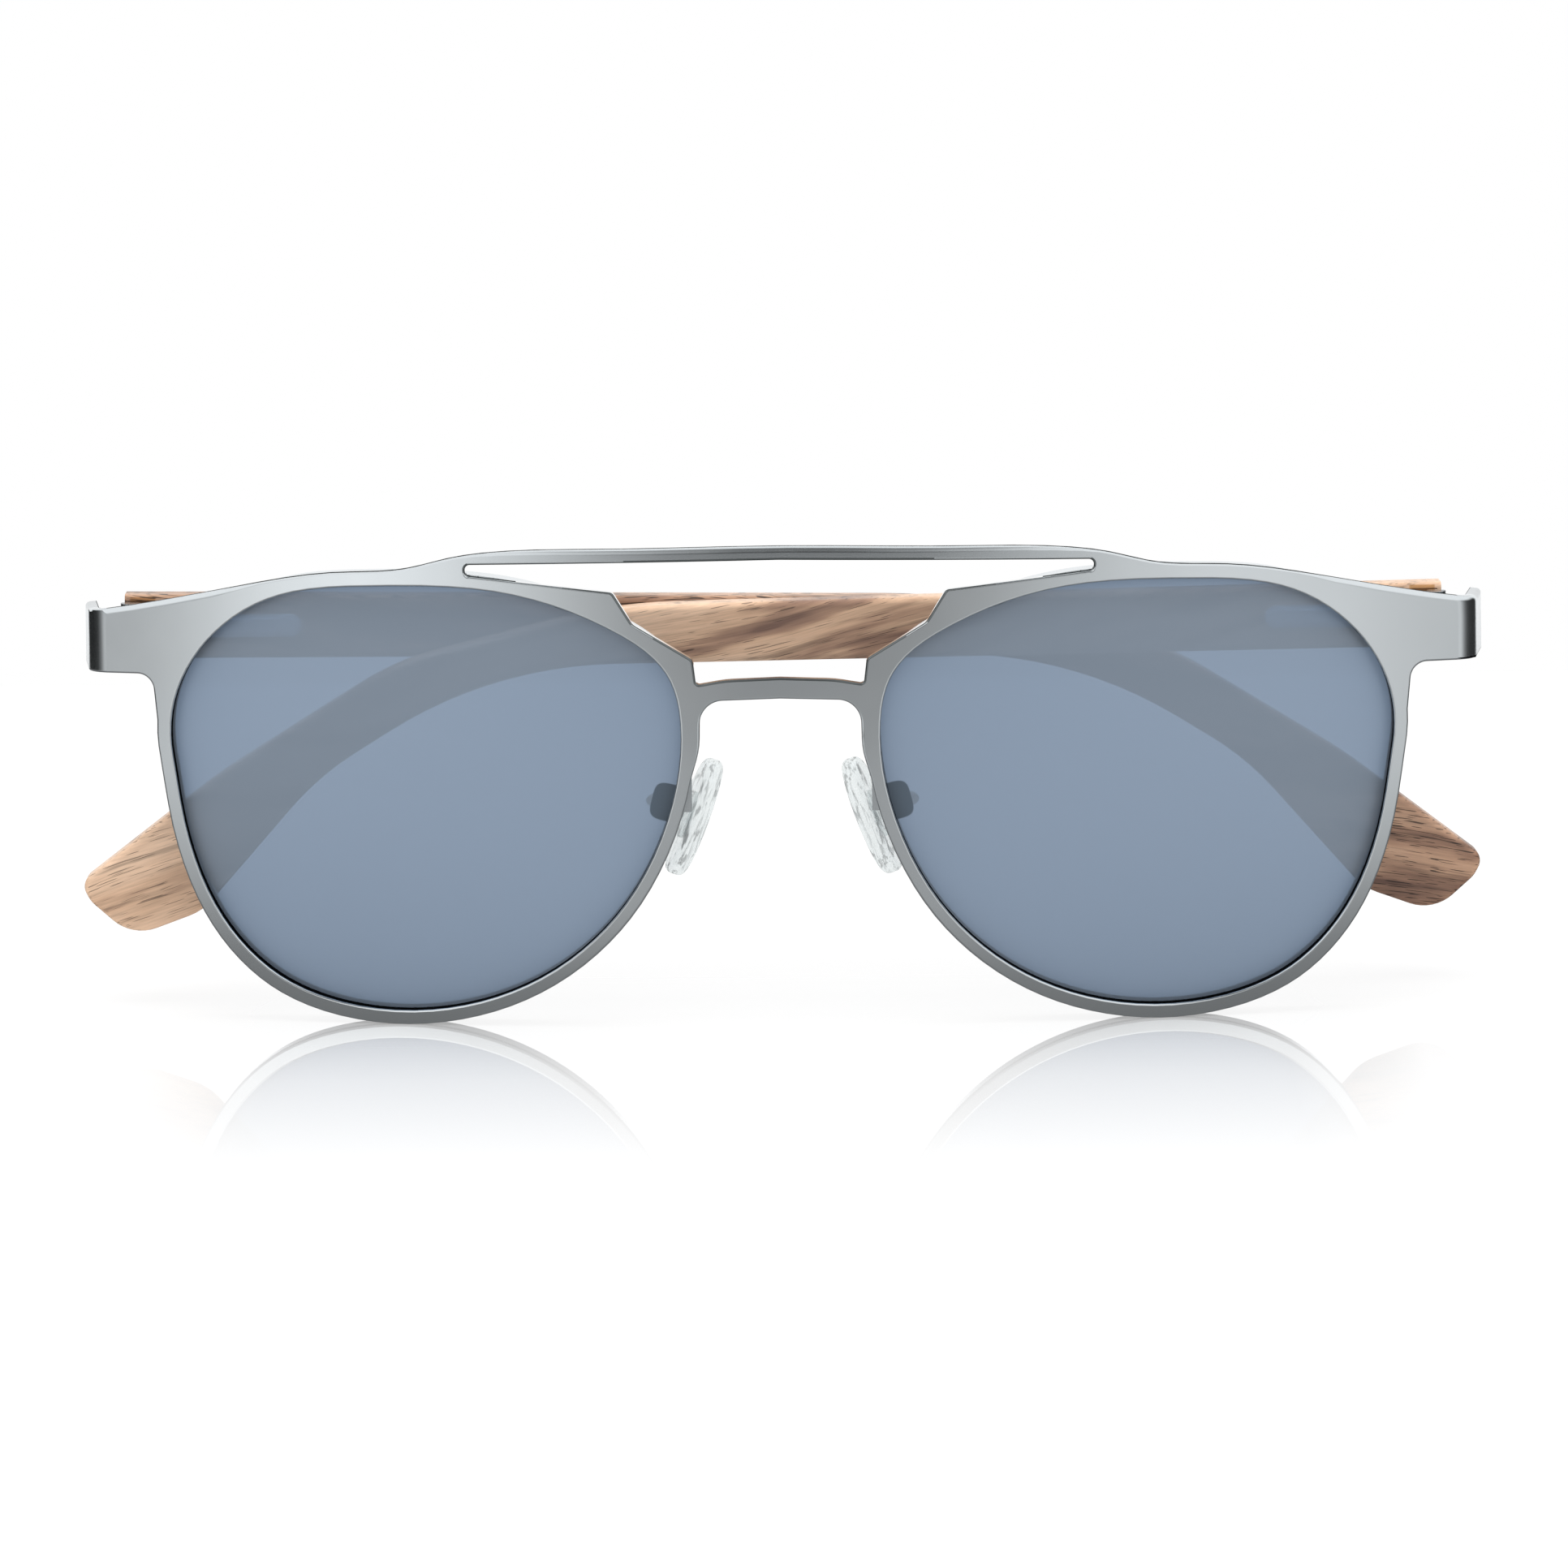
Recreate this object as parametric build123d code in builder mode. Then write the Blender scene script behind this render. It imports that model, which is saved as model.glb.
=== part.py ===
from build123d import *
import os
from math import asin, atan, cos, degrees, radians, sin, sqrt

# Folding sunglasses with a double bridge: a stamped metal front with two tinted lenses,
# sprung hinges let into wooden temples, and silicone nose pads on wire arms.
# Millimetres. +X is the wearer's left, +Y runs back towards the ears, +Z is up.
# The origin is the middle of the bridge on the datum line (mid height of the lenses),
# on the front surface. The temples are folded: the left one lies in front of the right one.

# ---- front ----
face_radius = 265.0         # both lenses and the front share one gentle dome
lens_width = 52.0
lens_height = 43.4
bridge_width = 20.2         # between the two lenses
lens_thickness = 1.8
plate_thickness = 1.2
rim_width = 1.45            # metal that shows round each lens
rim_inset = 0.15            # the eyewire stands this much inside the plate's edge
eyewire_depth = 2.8         # behind the plate
groove_lip = 0.4            # metal in front of the lens groove
groove_depth = 0.6
lens_gap = 0.05             # all round the lens in its groove

# ---- brow bar and bridge ----
brow_rise = 2.6             # brow bar's top above the rim's top
brow_bar = 1.35             # height of the slim upper bar
bridge_under = 10.45        # underside of the lower bridge above the datum line
bridge_bar = 2.1            # height of the lower bridge
window_short = 4.3          # the long window ends this much short of the lens's middle

# ---- end pieces and returns ----
end_reach = 5.25            # from the rim to where the sheet starts to bend back
bend_radius = 3.0           # outer radius of the bend
return_length = 6.2
return_flare = 9.0          # the returns spread this much towards the back
end_top = 18.5              # heights above the datum line
end_bottom = 12.45
hinge_height = 15.6

# ---- hinge ----
hinge_inset = 4.55          # hinge axis inside the outer end of the return
hinge_setback = 1.3         # and behind it
knuckle_radius = 1.4
knuckle_stack = 4.4         # height of the three knuckles
centre_knuckle = 1.5
knuckle_gap = 0.05
hinge_screw_radius = 0.6
running_clearance = 0.03
screw_head_radius = 1.0
screw_head_height = 0.5
leaf_thickness = 0.9
leaf_inset = 0.4            # leaf's rear edge ahead of the return's end
leaf_length = 4.4

# ---- temples ----
temple_thickness = 3.6
bar_height = 6.7            # at the hinge
bar_taper = 1.35            # fall of the upper edge towards the ear bend
temple_reach = 140.0        # hinge axis to the end of the tip
ear_length = 55.0           # bent part, along the bar
ear_drop = 31.3             # lowest point of the tip below the bar's middle
butt = 0.7                  # wood in front of the hinge axis
inner_face = 1.5            # hinge axis to the temple's inner face
edge_round = 0.7
temple_gap = 0.5            # between the two folded temples
pocket_length = 3.1
pocket_depth = 0.9
pocket_wall = 0.4

# ---- spring unit, let into the temple's inner face ----
housing_height = 2.3
housing_start = 3.0         # hinge axis to its front end
housing_end = 16.4          # hinge axis to the centre of its round end
housing_proud = 0.4         # stands out of the wood
housing_depth = 1.9         # sunk in the wood
rib_height = 1.4
rib_rise = 0.25
bore_radius = 0.75
bore_end = 13.6
collar = 0.8                # end wall that the spring pushes on
pin_radius = 0.35
pin_head_radius = 0.65
pin_head_length = 0.6
pin_end = 11.2
spring_wire = 0.2
spring_turns = 9
spring_play = 0.04
spring_travel = 1.2         # how far the temple can pull away from the knuckle
rivet_radius = 0.75
rivet_rise = 0.15
rivet_reach = 0.8           # into the wood behind the housing
wood_fit = 0.02             # between the wood and the housing let into it
pin_root = 0.9              # pin's end let into the knuckle's neck
neck_gap = 0.3              # neck to the housing's front end
neck_half = 0.7             # half thickness of the neck at the pin

# ---- closing block of each eyewire, behind the end piece ----
lock_height = 2.4           # each half
lock_gap = 0.3
lock_width = 5.0            # from within the eyewire to the block's outer side
lock_drop = 0.4             # the split lies this much below the hinge's middle
lock_screw_radius = 0.55
lock_screw_wall = 0.25      # metal between the screw and the eyewire
lock_side_wall = 0.25       # and outside its head
lock_screw_short = 1.0      # the screw ends this much above the block's underside
head_sink = 0.1             # its head lies this much below the top

# ---- nose pads ----
pad_length = 12.6
pad_width = 7.2
pad_thickness = 2.0
pad_round = 0.7
pad_lean = 21.0             # from upright, seen from the front
pad_splay = 10.0            # pads open towards the face
pad_inset = 1.0             # pad's middle from the lens's edge, towards the nose
pad_setback = 9.6           # and behind the front surface
pad_drop = 3.0              # and below the datum line
pad_tab_radius = 0.75
pad_tab_width = 1.1
pad_tab_play = 0.25         # round the tab inside its box
pad_axis_back = 1.15        # screw axis behind the pad's back face
insert_thickness = 0.5
insert_length = 5.0
insert_width = 3.2
cheek_thickness = 0.5
cheek_gap = 0.05
cheek_margin = 0.1          # metal outside the tab's outline
pad_screw_radius = 0.4
pad_screw_head = 0.75
arm_radius = 0.5
arm_turn = 1.1              # radius of the knee
arm_rise = 0.2              # height of the arm's foot above the datum line
arm_bow = Vector(1.8, 1.2)  # the knee stands out this much sideways and back
arm_foot = Vector(1.3, 1.4, 3.6)
arm_sink = 0.3              # the foot's middle off the eyewire's inner corner

# ---- derived places ----
lens_x = (bridge_width + lens_width) / 2
mid_x = lens_width / 2
mid_z = lens_height / 2
rim_side = lens_x + mid_x + rim_width       # outermost point of the rim
nose_side = bridge_width / 2                # edge of the lens next to the nose
pad_centre = Vector(nose_side - pad_inset, pad_setback, -pad_drop)
brow_top = mid_z + rim_width + brow_rise
window_top = brow_top - brow_bar
window_half = lens_x - window_short
bridge_top = bridge_under + bridge_bar
bend_start = rim_side + end_reach
lock_level = hinge_height - lock_drop
wrap = degrees(asin(bend_start / face_radius))
return_angle = 90 - return_flare
back = plate_thickness      # the plate's back face, as a depth behind the dome
face = Plane.XZ.offset(2)   # sketches of the front are drawn here, ahead of the dome
backward = (0, 1, 0)        # and run back through everything
through = 30


def dome_depth(x, z, depth=0.0):
    """Y of the surface that lies `depth` behind the dome, at x and z."""
    return face_radius - sqrt((face_radius - depth) ** 2 - x**2 - z**2)


def return_end():
    """X and Y of the outer rear edge of the return, at the hinge's height."""
    start, turned = radians(wrap), radians(return_angle)
    x = bend_start + bend_radius * (sin(turned) - sin(start)) + return_length * cos(turned)
    y = face_radius * (1 - cos(start))
    y += bend_radius * (cos(start) - cos(turned)) + return_length * sin(turned)
    return x, face_radius - sqrt((face_radius - y) ** 2 - hinge_height**2)


return_x, return_y = return_end()
hinge_x = return_x - hinge_inset
hinge_y = return_y + hinge_setback
past_end = return_x + 3     # clear of the return
fold_lean = degrees(atan((temple_thickness + temple_gap) / (2 * hinge_x)))


def dome(front_depth, back_depth):
    """Everything between two depths behind the dome."""
    centre = Plane(origin=(0, face_radius, 0), x_dir=(0, 1, 0), z_dir=(1, 0, 0))
    with BuildPart(centre) as zone:
        Sphere(face_radius - front_depth)
        Sphere(face_radius - back_depth, mode=Mode.SUBTRACT)
    return zone.part


# Lens outline as shares of its half width and half height, from the outer side
# anticlockwise over the top to the nose and round below.
lens_shape = [
    (1.00, 0.20), (0.915, 0.64), (0.635, 0.92), (0.20, 1.0),
    (-0.30, 0.975), (-0.735, 0.80), (-0.95, 0.59), (-1.00, 0.28),
    (-0.94, -0.10), (-0.76, -0.51), (-0.425, -0.85), (0.0, -1.0),
    (0.29, -0.985), (0.58, -0.86), (0.81, -0.585), (0.95, -0.17),
]  # fmt: skip


def lens_outline(grow):
    """The left lens's outline with its half sizes grown, as a sketch on the face plane."""
    with BuildSketch(face) as outline:
        with BuildLine():
            Spline(
                [(lens_x + u * (mid_x + grow), v * (mid_z + grow)) for u, v in lens_shape],
                periodic=True,
            )
        make_face()
    return outline.sketch


opening = lens_outline(0)
rim_edge = lens_outline(rim_width)
eyewire_edge = lens_outline(rim_width - rim_inset)
groove_edge = lens_outline(groove_depth)
glass_edge = lens_outline(groove_depth - lens_gap)

# ---------------------------------------------------------------- front plate

# The bent sheet: dome, bend and return in plan, swept round the dome's level axis.
sheet_tilt = 8
sheet_plane = Plane(origin=(0, face_radius, 0)).rotated((-sheet_tilt, 0, 0))
with BuildPart() as sheet:
    with BuildSketch(sheet_plane):
        with BuildLine():
            ends = []
            for depth in (0, plate_thickness):
                radius = face_radius - depth
                flat = CenterArc((0, 0), radius, -90, wrap)
                bend = JernArc(flat @ 1, flat % 1, bend_radius - depth, return_angle - wrap)
                leg = Line(bend @ 1, bend @ 1 + (bend % 1) * return_length)
                ends.append((flat @ 0, leg @ 1))
            Line(ends[0][0], ends[1][0])
            Line(ends[0][1], ends[1][1])
        make_face()
    revolve(axis=Axis((0, face_radius, 0), (1, 0, 0)), revolution_arc=2 * sheet_tilt)
    mirror(about=Plane.YZ)

with BuildSketch(face) as front_outline:
    with BuildLine():
        # upper edge: brow bar, a step down to the lens, then the end piece
        Spline(
            [
                (0, brow_top), (lens_x - 18.1, brow_top - 0.25), (lens_x - 6.6, brow_top - 0.6),
                (lens_x - 2.6, brow_top - 1.2), (lens_x + 1.5, brow_top - 2.2),
                (lens_x + 8.9, brow_top - 2.7), (lens_x + 18.6, brow_top - 4.15),
                (rim_side + 3.0, end_top + 0.8), (past_end, end_top),
            ],
            tangents=[(1, 0), (1, 0)],
        )  # fmt: skip
        Line((past_end, end_top), (past_end, end_bottom))
        FilletPolyline(
            (past_end, end_bottom), (rim_side + 0.55, end_bottom), (rim_side - 0.35, 2.5),
            radius=1.7,
        )  # fmt: skip
        Polyline(
            (rim_side - 0.35, 2.5), (lens_x, 0), (lens_x - 16, -4.0), (nose_side + 0.4, -2.5)
        )  # fmt: skip
        FilletPolyline(
            (nose_side + 0.4, -2.5), (nose_side - 1.9, bridge_under / 2),
            (nose_side - 2.0, bridge_under - 0.25), (0, bridge_under),
            radius=[8, 2.4],
        )  # fmt: skip
        Line((0, bridge_under), (0, brow_top))
    make_face()
    add(rim_edge)
    mirror(about=Plane.YZ)

with BuildSketch(face) as window:
    with BuildLine():
        FilletPolyline(
            (0, window_top), (window_half, window_top - 0.45), (window_half - 0.2, mid_z + 1.1),
            (nose_side + 6.7, mid_z - 0.5), (nose_side + 4.7, mid_z - 3.7),
            (nose_side - 1.35, bridge_top + 1.85), (nose_side - 1.65, bridge_top - 0.7),
            (nose_side - 4.6, bridge_top - 0.2), (0, bridge_top),
            radius=[0.5, 0.4, 0.6, 1.6, 0.8, 0.4, 12],
        )  # fmt: skip
        mirror(about=Plane.YZ)
    make_face()

openings = [opening, mirror(opening, about=Plane.YZ), window.sketch]
with BuildPart() as front_plate:
    extrude(front_outline.sketch, amount=through, dir=backward)
    add(sheet.part, mode=Mode.INTERSECT)
    for hole in openings:
        extrude(hole, amount=through, dir=backward, mode=Mode.SUBTRACT)

# ---------------------------------------------------------------- lens and eyewire

lens_front = back + groove_lip + lens_gap
lens_back = lens_front + lens_thickness
with BuildPart() as lens:
    extrude(glass_edge, amount=through, dir=backward)
    add(dome(lens_front, lens_back), mode=Mode.INTERSECT)

with BuildPart() as groove:
    extrude(groove_edge, amount=through, dir=backward)
    add(dome(lens_front - lens_gap, lens_back + lens_gap), mode=Mode.INTERSECT)

with BuildSketch(face) as rim_split:
    with Locations((lens_x + mid_x, lock_level)):
        Rectangle(lens_width / 2, lock_gap)

rim_zone = dome(back, back + eyewire_depth)
with BuildPart() as eyewire:
    extrude(eyewire_edge, amount=through, dir=backward)
    add(rim_zone, mode=Mode.INTERSECT)
    extrude(opening, amount=through, dir=backward, mode=Mode.SUBTRACT)
    add(groove.part, mode=Mode.SUBTRACT)
    extrude(rim_split.sketch, amount=through, dir=backward, mode=Mode.SUBTRACT)

# ---------------------------------------------------------------- screws


def slotted_screw(shank_radius, shank_length, head_radius, head_height):
    """A cheese-head screw along Z, with its shank below Z = 0 and its head above."""
    with BuildPart() as screw:
        Cylinder(shank_radius, shank_length, align=(Align.CENTER, Align.CENTER, Align.MAX))
        Cylinder(head_radius, head_height, align=(Align.CENTER, Align.CENTER, Align.MIN))
        with BuildSketch(Plane.XY.offset(head_height)):
            Rectangle(2 * head_radius, head_radius / 3)
        extrude(amount=-head_height / 2, mode=Mode.SUBTRACT)
    return screw.part


# ---------------------------------------------------------------- closing block


def eyewire_side(height):
    """X of the eyewire's outer side at a height."""
    with BuildSketch(face) as band:
        add(eyewire_edge)
        with Locations((lens_x + mid_x, height)):
            Rectangle(lens_width, rim_inset, mode=Mode.INTERSECT)
    return band.sketch.bounding_box().max.X


lock_top = lock_level + lock_gap / 2 + lock_height
lock_bottom = lock_top - 2 * lock_height - lock_gap
lock_screw_x = (
    eyewire_side(lock_bottom + lock_screw_short) + lock_screw_radius + lock_screw_wall
)
lock_side = lock_screw_x + screw_head_radius + lock_side_wall
lock_screw_y = dome_depth(lock_screw_x, lock_level, back + eyewire_depth / 2)
lock_head_seat = Plane((lock_screw_x, lock_screw_y, lock_top - screw_head_height))
lock_screw_length = 2 * lock_height + lock_gap - screw_head_height - lock_screw_short


def lock_half(low):
    """One half of the closing block, from height `low` up, beside the eyewire."""
    with BuildSketch(face) as block:
        with Locations((lock_side - lock_width / 2, low + lock_height / 2)):
            Rectangle(lock_width, lock_height)
        add(eyewire_edge, mode=Mode.SUBTRACT)
    with BuildPart() as half:
        extrude(block.sketch, amount=through, dir=backward)
        add(rim_zone, mode=Mode.INTERSECT)
        with Locations(lock_head_seat):
            Cylinder(
                lock_screw_radius + running_clearance, 4 * lock_height, mode=Mode.SUBTRACT
            )
            Cylinder(
                screw_head_radius + running_clearance, screw_head_height + 1,
                align=(Align.CENTER, Align.CENTER, Align.MIN), mode=Mode.SUBTRACT,
            )  # fmt: skip
    return half.part


rim_lock_upper = lock_half(lock_level + lock_gap / 2)
rim_lock_lower = lock_half(lock_bottom)
rim_lock_screw = lock_head_seat.location * slotted_screw(
    lock_screw_radius, lock_screw_length, screw_head_radius, screw_head_height - head_sink
)

# ---------------------------------------------------------------- hinge leaf

turned = radians(return_angle)
along = Vector(cos(turned), sin(turned))    # rearwards along the return
inward = Vector(-sin(turned), cos(turned))  # square to the return, towards the head
rear = Vector(return_x, return_y)
axis_point = Vector(hinge_x, hinge_y)
leaf_rear = rear - along * leaf_inset
leaf_front = leaf_rear - along * leaf_length
leaf_outside = inward * (plate_thickness / 2)
leaf_inside = inward * (plate_thickness + leaf_thickness)
prong_root = inward * (plate_thickness + leaf_thickness / 2)
knuckle_low = hinge_height - knuckle_stack / 2
outer_knuckle = (knuckle_stack - centre_knuckle) / 2

with BuildPart() as hinge_leaf:
    with BuildSketch(Plane.XY.offset(knuckle_low)):
        with BuildLine():
            Polyline(
                leaf_rear + leaf_outside, leaf_front + leaf_outside,
                leaf_front + leaf_inside, leaf_rear + leaf_inside, close=True,
            )  # fmt: skip
        make_face()
    extrude(amount=knuckle_stack)
    for low in (knuckle_low, knuckle_low + knuckle_stack - outer_knuckle):
        with BuildSketch(Plane.XY.offset(low)):
            with BuildLine():
                Polyline(
                    axis_point + Vector(-0.2, -0.97) * knuckle_radius,
                    axis_point + Vector(0.5, -0.86) * knuckle_radius,
                    leaf_rear + prong_root - along * 0.2,
                    leaf_rear + prong_root - along * 0.75 * leaf_length,
                    close=True,
                )
            make_face()
            with Locations(axis_point):
                Circle(knuckle_radius)
        extrude(amount=outer_knuckle)
    with Locations((hinge_x, hinge_y, hinge_height)):
        Cylinder(
            hinge_screw_radius + running_clearance, 2 * knuckle_stack, mode=Mode.SUBTRACT
        )
    add(front_plate.part, mode=Mode.SUBTRACT)

hinge_screw = Pos(hinge_x, hinge_y, hinge_height + knuckle_stack / 2) * slotted_screw(
    hinge_screw_radius, knuckle_stack, screw_head_radius, screw_head_height
)

# ---------------------------------------------------------------- nose pad

lean = radians(pad_lean)
splay = radians(pad_splay)
pad_up = Vector(-sin(lean), 0, cos(lean))
pad_normal = Vector(-cos(lean) * cos(splay), sin(splay), -sin(lean) * cos(splay))
pad_back = -pad_thickness / 2
pad_axis = pad_back - pad_axis_back      # screw axis, behind the pad's middle
box_floor = pad_axis - pad_tab_radius - pad_tab_play
box_half = pad_tab_radius + cheek_margin


def pad_plane(height):
    """A plane parallel to the pad, `height` towards the nose from its middle."""
    return Plane(pad_centre + pad_normal * height, x_dir=pad_up, z_dir=pad_normal)


screw_line = Plane(pad_plane(pad_axis).origin, x_dir=pad_up, z_dir=pad_plane(0).y_dir)

with BuildPart() as pad_insert:
    with BuildSketch(pad_plane(pad_back)):
        Ellipse(insert_length / 2, insert_width / 2)
    extrude(amount=insert_thickness)
    with BuildSketch(pad_plane(pad_axis)):
        Rectangle(2 * pad_tab_radius, pad_tab_width)
    extrude(amount=pad_axis_back)
    with Locations(screw_line):
        Cylinder(pad_tab_radius, pad_tab_width)
        Cylinder(pad_screw_radius + running_clearance, 2 * pad_tab_width, mode=Mode.SUBTRACT)

with BuildPart() as nose_pad:
    with BuildSketch(pad_plane(pad_back)):
        Ellipse(pad_length / 2, pad_width / 2)
    extrude(amount=pad_thickness)
    fillet(nose_pad.edges(), radius=pad_round)
    add(pad_insert.part, mode=Mode.SUBTRACT)

cheek_low = pad_tab_width / 2 + cheek_gap
cheek_out = cheek_low + cheek_thickness
with BuildPart() as pad_box:
    with BuildSketch(pad_plane(box_floor)):
        Rectangle(2 * box_half, 2 * cheek_out)
    extrude(amount=-cheek_thickness)
    with BuildSketch(pad_plane(box_floor)):
        Rectangle(2 * box_half, 2 * cheek_out)
        Rectangle(2 * box_half, 2 * cheek_low, mode=Mode.SUBTRACT)
    extrude(amount=pad_axis - box_floor)
    with Locations(screw_line):
        Cylinder(box_half, 2 * cheek_out)
        Cylinder(pad_tab_radius + pad_tab_play, 2 * cheek_low, mode=Mode.SUBTRACT)
        Cylinder(pad_screw_radius + running_clearance, 4 * cheek_out, mode=Mode.SUBTRACT)

pad_screw = (
    screw_line.location
    * Pos(0, 0, cheek_out)
    * slotted_screw(pad_screw_radius, 2 * cheek_out, pad_screw_head, screw_head_height / 2)
)

# ---------------------------------------------------------------- pad arm

foot_y = dome_depth(nose_side, 0, back + eyewire_depth)
arm_start = Vector(nose_side, foot_y + arm_sink, arm_rise)
arm_end = pad_plane(box_floor - cheek_thickness / 2).origin
arm_knee = Vector(
    arm_end.X + arm_bow.X, (foot_y + arm_end.Y) / 2 + arm_bow.Y, arm_end.Z / 2
)
arm_plane = Plane(
    arm_start, x_dir=arm_knee - arm_start, z_dir=(arm_knee - arm_start).cross(arm_end - arm_knee)
)

with BuildPart() as pad_arm:
    with BuildLine(arm_plane) as arm_route:
        knee = arm_plane.to_local_coords(arm_knee)
        end = arm_plane.to_local_coords(arm_end)
        FilletPolyline((0, 0), (knee.X, knee.Y), (end.X, end.Y), radius=arm_turn)
    with BuildSketch(Plane(arm_start, z_dir=arm_knee - arm_start)):
        Circle(arm_radius)
    sweep()
    with Locations((nose_side - arm_sink, foot_y + arm_sink, arm_rise)):
        Box(arm_foot.X, arm_foot.Y, arm_foot.Z)
    add(eyewire.part, mode=Mode.SUBTRACT)
    add(pad_box.part, mode=Mode.SUBTRACT)

# ---------------------------------------------------------------- temple parts
# Drawn for the left temple in the hinge's own frame: X runs along the temple from the
# hinge axis, Z is up and the wood's outer face looks towards -Y.

bore_out = inner_face + (housing_depth - housing_proud) / 2
bore_axis = Plane((0, -bore_out, 0), z_dir=(1, 0, 0))   # Z along the temple


def side_plane(out):
    """A plane parallel to the temple's faces, `out` mm outwards from the hinge axis."""
    return Plane((0, -out, 0), x_dir=(1, 0, 0), z_dir=(0, -1, 0))


# The bent part from its upper edge over the tip and back along the lower edge: shares of
# its length and drop, measured from the end of the tip, each with its rounding radius.
ear_shape = [
    (-0.593, -0.115, 30), (-0.256, -0.482, 60), (0.009, -0.837, 1.5), (-0.009, -0.901, 3),
    (-0.086, -1.023, 4.5), (-0.22, -0.938, 6), (-0.444, -0.492, 30), (-0.773, -0.134, 45),
]  # fmt: skip
bar_round = 60              # where the bar's upper edge starts to drop


def ear_outline():
    """Side view of the wood: straight bar, bend over the ear, paddle tip."""
    top = bar_height / 2
    ear = [(temple_reach + u * ear_length, v * ear_drop) for u, v, _ in ear_shape]
    with BuildSketch(side_plane(inner_face)) as outline:
        with BuildLine():
            FilletPolyline(
                (-butt, top), (temple_reach - ear_length, top - bar_taper), *ear, (-butt, -top),
                radius=[bar_round] + [turn for _, _, turn in ear_shape],
            )
            Line((-butt, -top), (-butt, top))
        make_face()
    return outline.sketch


rivet_seat = inner_face - housing_proud - rib_rise
with BuildPart() as housing_rivet:
    with BuildSketch(side_plane(rivet_seat - rivet_rise)):
        with Locations((housing_end, 0)):
            Circle(rivet_radius)
    extrude(amount=rivet_rise)
    with BuildSketch(side_plane(rivet_seat)):
        with Locations((housing_end, 0)):
            Circle(rivet_radius / 2)
    extrude(amount=inner_face + housing_depth + rivet_reach - rivet_seat)


def housing_outline(height, out):
    """Bar with a round end, as seen from the side, on a plane `out` mm outwards."""
    with BuildSketch(side_plane(out)) as outline:
        with Locations(((housing_start + housing_end) / 2, 0)):
            Rectangle(housing_end - housing_start, height)
        with Locations((housing_end, 0)):
            Circle(housing_height / 2)
    return outline.sketch


outward = (0, -1, 0)
housing_face = housing_outline(housing_height, inner_face - housing_proud)
rib_face = housing_outline(rib_height, rivet_seat)
with BuildPart() as spring_housing:
    extrude(housing_face, amount=housing_proud + housing_depth, dir=outward)
    extrude(rib_face, amount=rib_rise, dir=outward)
    with BuildSketch(bore_axis.offset(housing_start)):
        Circle(pin_radius + 2 * running_clearance)
    extrude(amount=collar, mode=Mode.SUBTRACT)
    with BuildSketch(bore_axis.offset(housing_start + collar)):
        Circle(bore_radius)
    extrude(amount=bore_end - housing_start - collar, mode=Mode.SUBTRACT)
    add(housing_rivet.part, mode=Mode.SUBTRACT)

neck_end = housing_start - neck_gap
with BuildPart() as spring_pin:
    with BuildSketch(bore_axis.offset(neck_end - pin_root)):
        Circle(pin_radius)
    extrude(amount=pin_end - neck_end + pin_root)
    with BuildSketch(bore_axis.offset(pin_end - pin_head_length)):
        Circle(pin_head_radius)
    extrude(amount=pin_head_length)

centre_height = centre_knuckle - 2 * knuckle_gap
neck_low = Plane.XY.offset(-centre_height / 2)
with BuildPart() as spring_slider:
    with BuildSketch(neck_low):
        Circle(knuckle_radius)
        with BuildLine():
            Polyline(
                (-knuckle_radius / 4, -0.9 * knuckle_radius), (1.2, -bore_out - neck_half),
                (neck_end, -bore_out - neck_half), (neck_end, -bore_out + neck_half),
                (knuckle_radius, -0.4), (0.7 * knuckle_radius, 0.55 * knuckle_radius), close=True,
            )  # fmt: skip
        make_face()
    extrude(amount=centre_height)
    Cylinder(hinge_screw_radius + running_clearance, 2 * knuckle_stack, mode=Mode.SUBTRACT)
    add(spring_pin.part, mode=Mode.SUBTRACT)

coil_radius = pin_radius + spring_play + spring_wire / 2
coil_start = housing_start + collar + spring_wire / 2 + spring_play
coil_length = pin_end - pin_head_length - coil_start - spring_wire / 2 - spring_play
with BuildPart() as spring:
    with BuildLine() as coil:
        Helix(
            coil_length / spring_turns, coil_length, coil_radius,
            center=(coil_start, -bore_out, 0), direction=(1, 0, 0),
        )  # fmt: skip
    with BuildSketch(Plane(coil.line @ 0, z_dir=coil.line % 0)):
        Circle(spring_wire / 2)
    sweep()

pocket_end = pocket_length - butt
with BuildPart() as temple:
    extrude(ear_outline(), amount=temple_thickness, dir=outward)
    side_edges = temple.faces().filter_by(Axis.Y).edges()
    fillet(side_edges - temple.faces().filter_by(Axis.X).edges(), radius=edge_round)
    with BuildSketch(side_plane(inner_face)):
        with Locations(((pocket_end - butt + pocket_wall) / 2, 0)):
            Rectangle(pocket_end + butt - pocket_wall, bar_height - 3 * pocket_wall)
    extrude(amount=pocket_depth, mode=Mode.SUBTRACT)
    with BuildSketch(side_plane(inner_face)):
        with Locations(((housing_end - butt) / 2, 0)):
            Rectangle(housing_end + butt, housing_height + 2 * wood_fit)
        with Locations((housing_end, 0)):
            Circle(housing_height / 2 + wood_fit)
    extrude(amount=housing_depth, mode=Mode.SUBTRACT)
    add(housing_rivet.part, mode=Mode.SUBTRACT)

# ---------------------------------------------------------------- placing and writing

fold = radians(fold_lean)
left_hinge = Plane(
    (hinge_x, hinge_y, hinge_height), x_dir=(-cos(fold), -sin(fold), 0), z_dir=(0, 0, 1)
)
right_hinge = Plane(
    (-hinge_x, hinge_y, hinge_height), x_dir=(cos(fold), sin(fold), 0), z_dir=(0, 0, 1)
)

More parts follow.
